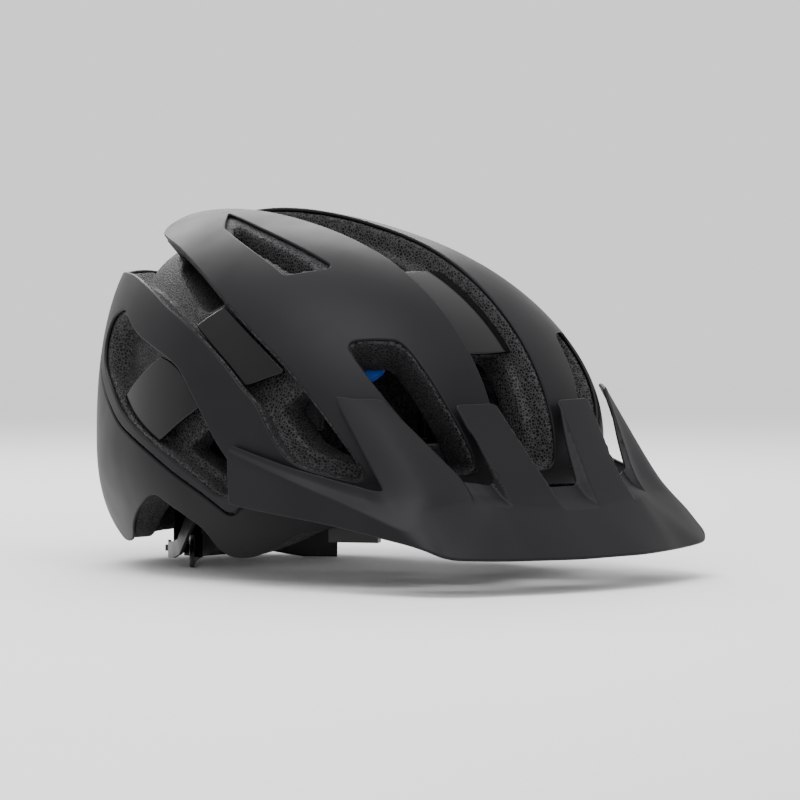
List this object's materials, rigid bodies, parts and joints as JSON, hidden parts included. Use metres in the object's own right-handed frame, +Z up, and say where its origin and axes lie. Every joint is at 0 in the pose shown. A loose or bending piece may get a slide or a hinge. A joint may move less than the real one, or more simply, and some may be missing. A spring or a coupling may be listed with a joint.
{
  "type": "cycling helmet",
  "caption": "Open-face trail cycling helmet with vented foam liner, two-part thin shell, tilting visor, dial-adjusted nape cradle, pads, straps and a closed chin buckle",
  "frame": {"origin": "on the floor below the middle of the helmet's bounding box; z = 0 is the lowest point, the rim of the nape cradle", "axes": "+Z up, the face looks along -Y, the wearer's left is +X, X = 0 is the plane of symmetry of the shell"},
  "size_m": [0.2216, 0.3142, 0.1752],
  "materials": {
    "foam": "expanded bead foam",
    "skin": "satin",
    "gloss": "polished",
    "visor": "satin",
    "padding": "brushed knit",
    "shear_film": "smooth",
    "webbing": "woven",
    "magnet": "nickel plated",
    "pin_metal": "brushed",
    "gear": "satin",
    "hardware": "satin",
    "dial": "soft touch",
    "retention": "satin"
  },
  "bodies": {
    "helmet": {"eps_liner": "foam", "upper_shell": "skin", "lower_shell": "skin", "centre_bridge": "gloss", "side_bridge_left": "gloss", "side_bridge_right": "gloss", "rear_bridge_left": "gloss", "rear_bridge_right": "gloss", "pivot_pin_left": "pin_metal", "pivot_pin_right": "pin_metal", "pivot_socket_left": "retention", "pivot_socket_right": "retention", "brow_pad": "padding", "crown_pad_front": "padding", "crown_pad_rear": "padding", "side_pad_left": "padding", "side_pad_right": "padding", "shear_disc_front_left": "shear_film", "shear_disc_front_right": "shear_film", "shear_disc_side_left": "shear_film", "shear_disc_side_right": "shear_film", "shear_disc_rear_left": "shear_film", "shear_disc_rear_right": "shear_film", "front_anchor_left": "hardware", "front_anchor_right": "hardware", "rear_anchor_left": "hardware", "rear_anchor_right": "hardware", "front_strap_left": "webbing", "front_strap_right": "webbing", "rear_strap_left": "webbing", "rear_strap_right": "webbing", "strap_divider_left": "hardware", "strap_divider_right": "hardware", "chin_strap_left": "webbing", "chin_strap_right": "webbing", "buckle_body": "hardware", "buckle_magnets": "magnet", "buckle_tongue": "hardware", "chin_pad": "padding", "temple_pin_left": "pin_metal", "temple_pin_right": "pin_metal", "height_pegs": "retention"},
    "visor": {"visor": "visor", "visor_hub_left": "visor", "visor_hub_right": "visor"},
    "cradle": {"cradle": "retention", "cradle_cover": "retention", "cradle_pads": "padding", "yoke_straps": "retention"},
    "dial": {"dial_knob": "dial", "dial_pinion": "gear"},
    "band_left": {"band_left": "retention", "rack_left": "retention"},
    "band_right": {"band_right": "retention", "rack_right": "retention"},
    "slider": {"buckle_slider": "hardware"}
  },
  "joints": [
    {"name": "visor_tilt", "type": "hinge", "parent": "helmet", "child": "visor", "pos_m": [0, -0.01908, 0.05], "axis": [-1, 0, 0], "range_deg": [0, 14]},
    {"name": "cradle_slide", "type": "slide", "parent": "helmet", "child": "cradle", "axis": [0, 1, 0], "range_m": [-0.004, 0.0026]},
    {"name": "band_left_swing", "type": "hinge", "parent": "helmet", "child": "band_left", "pos_m": [0.076, -0.02508, 0.05], "axis": [0, 0, 1], "range_deg": [-2.2, 3.2]},
    {"name": "band_right_swing", "type": "hinge", "parent": "helmet", "child": "band_right", "pos_m": [-0.076, -0.02508, 0.05], "axis": [0, 0, 1], "range_deg": [-3.2, 2.2]},
    {"name": "dial_turn", "type": "hinge", "parent": "cradle", "child": "dial", "pos_m": [0, 0.11292, 0.0165], "axis": [0, 1, 0], "range_deg": [-70, 46]},
    {"name": "slider_press", "type": "slide", "parent": "helmet", "child": "slider", "axis": [1, 0, 0], "range_m": [0, 0.005], "stiffness_N_per_m": 200}
  ],
  "couplings": [
    {"joint": "band_left_swing", "follows": "cradle_slide", "rad_per_m": -13.158},
    {"joint": "band_right_swing", "follows": "cradle_slide", "rad_per_m": 13.158},
    {"joint": "dial_turn", "follows": "cradle_slide", "rad_per_m": 294.74}
  ]
}
